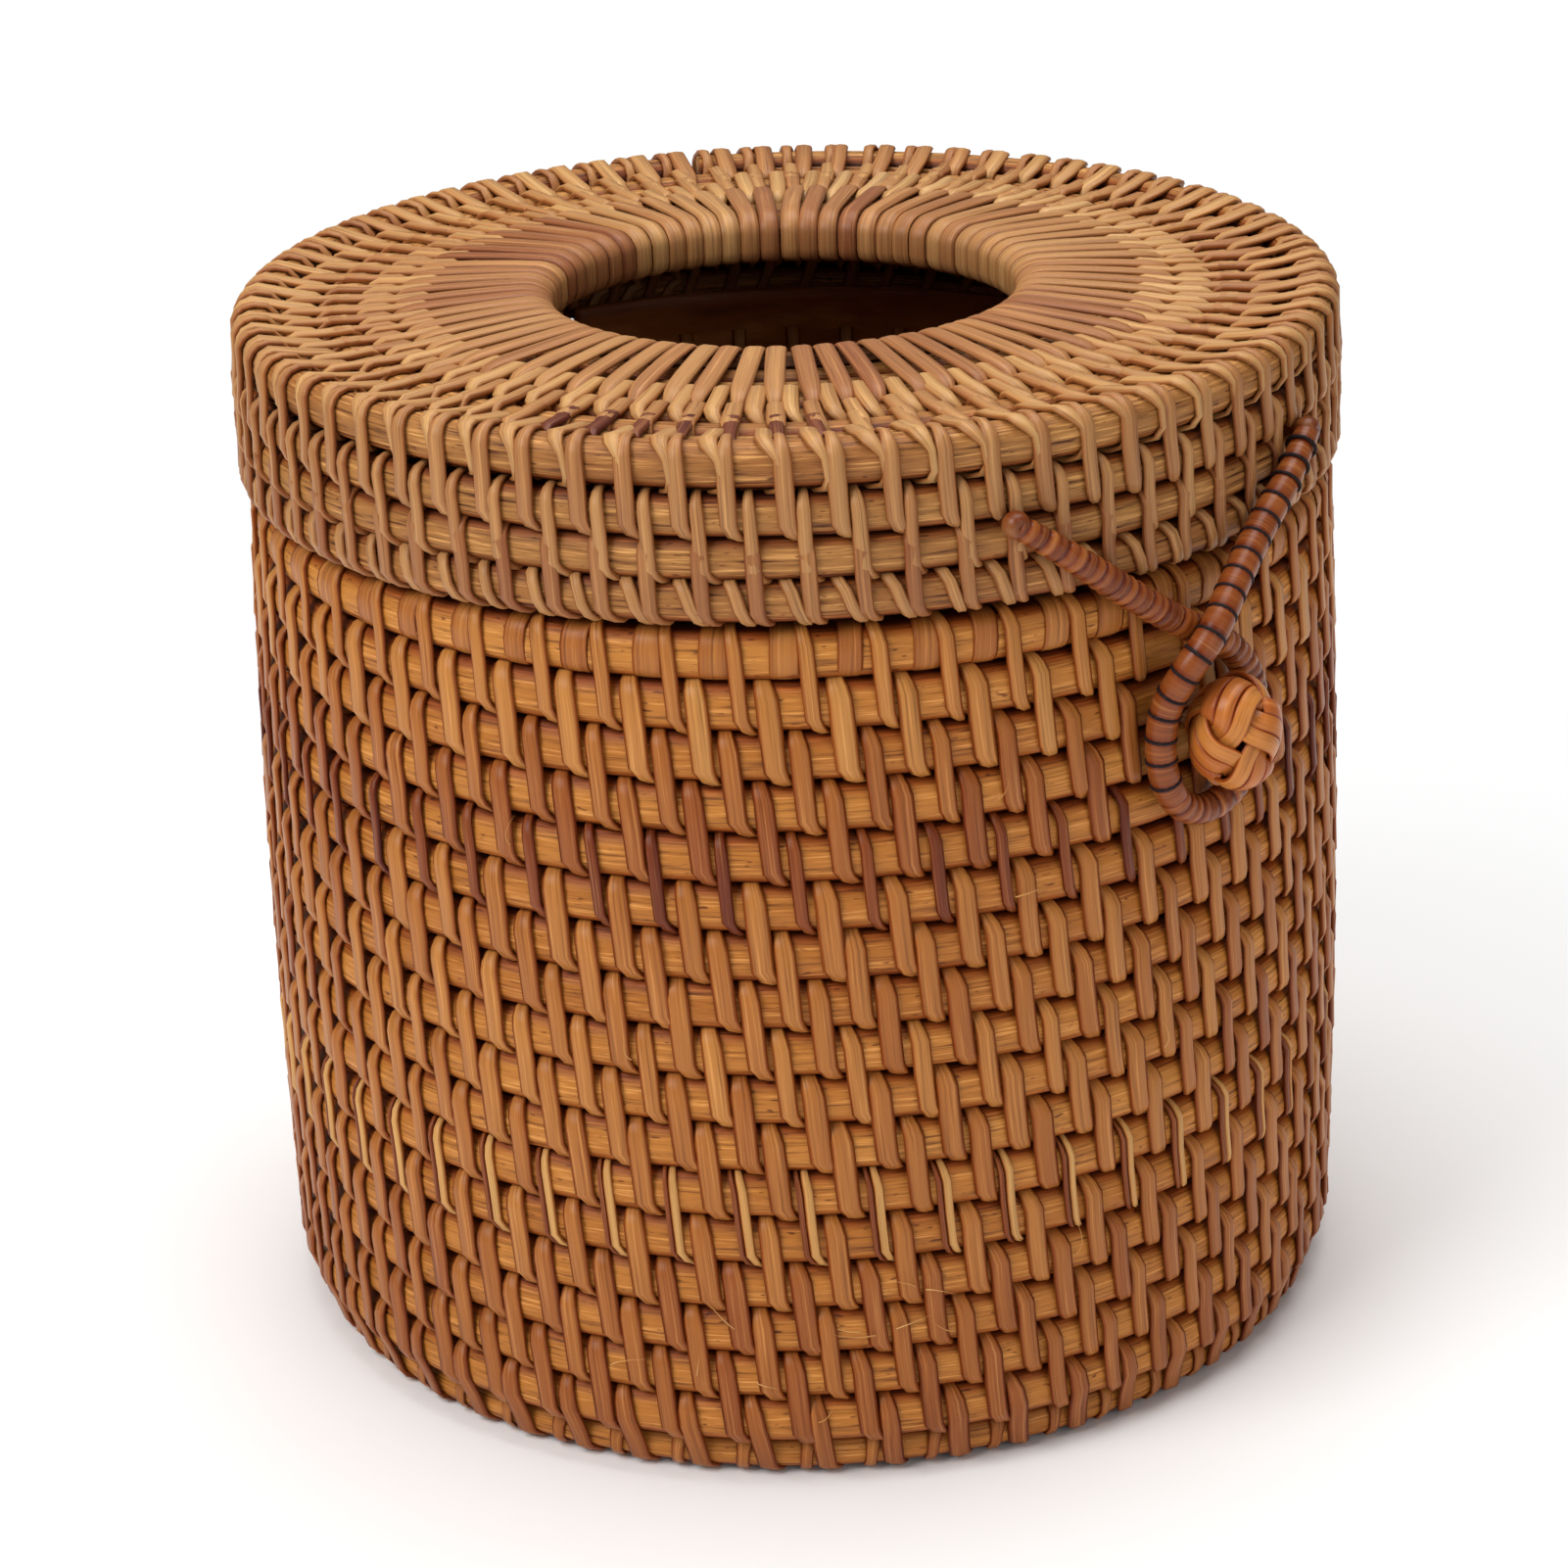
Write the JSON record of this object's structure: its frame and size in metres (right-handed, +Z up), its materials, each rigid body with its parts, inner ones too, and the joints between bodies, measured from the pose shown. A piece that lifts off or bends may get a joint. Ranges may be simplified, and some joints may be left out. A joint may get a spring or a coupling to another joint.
{
  "type": "tissue box cover",
  "caption": "Round coiled rattan tissue box with a hinged lid, a wrapped tissue hole in its top, and a loop and woven knob clasp at the front.",
  "frame": {"origin": "centre of the base, on the surface that the box stands on", "axes": "+Z up through the tissue hole; the clasp is at the front, towards -Y; the hinge is at the back, towards +Y; +X to the right"},
  "size_m": [0.1604, 0.1731, 0.1533],
  "materials": {
    "cane": "split and sanded rattan core, honey brown, satin",
    "peel": "flat rattan peel strips, golden brown, semi-gloss",
    "wrapped_cord": "cord wrapped in reddish brown rattan strip with rings of dark thread",
    "knob_strip": "glossy orange-brown rattan peel, woven"
  },
  "bodies": {
    "body": {"base_start_knot": "cane", "base_cane": "cane", "wall_cane_lower": "cane", "wall_cane_middle": "cane", "wall_cane_upper": "cane", "rim_lip": "peel", "knob_stem": "knob_strip", "knob_stem_knot": "knob_strip", "knob_core": "knob_strip", "knob_weave": "knob_strip"},
    "lid": {"lid_skirt_cane": "cane", "lid_corner_cane": "cane", "lid_top_cane": "cane", "collar_cane": "cane", "collar_hoop_upper": "cane", "collar_hoop_lower": "cane", "collar_wrap": "peel", "hinge_ring_left": "peel", "hinge_ring_right": "peel", "loop_end_left": "wrapped_cord", "loop_end_right": "wrapped_cord"},
    "loop": {"loop_cord": "wrapped_cord"}
  },
  "joints": [
    {"name": "lid_hinge", "type": "hinge", "parent": "body", "child": "lid", "pos_m": [0, 0.07391, 0.12335], "axis": [-1, 0, 0], "range_deg": [0, 90]},
    {"name": "loop_swing", "type": "hinge", "parent": "lid", "child": "loop", "pos_m": [0, -0.07659, 0.1399], "axis": [-1, 0, 0], "range_deg": [0, 100]}
  ]
}
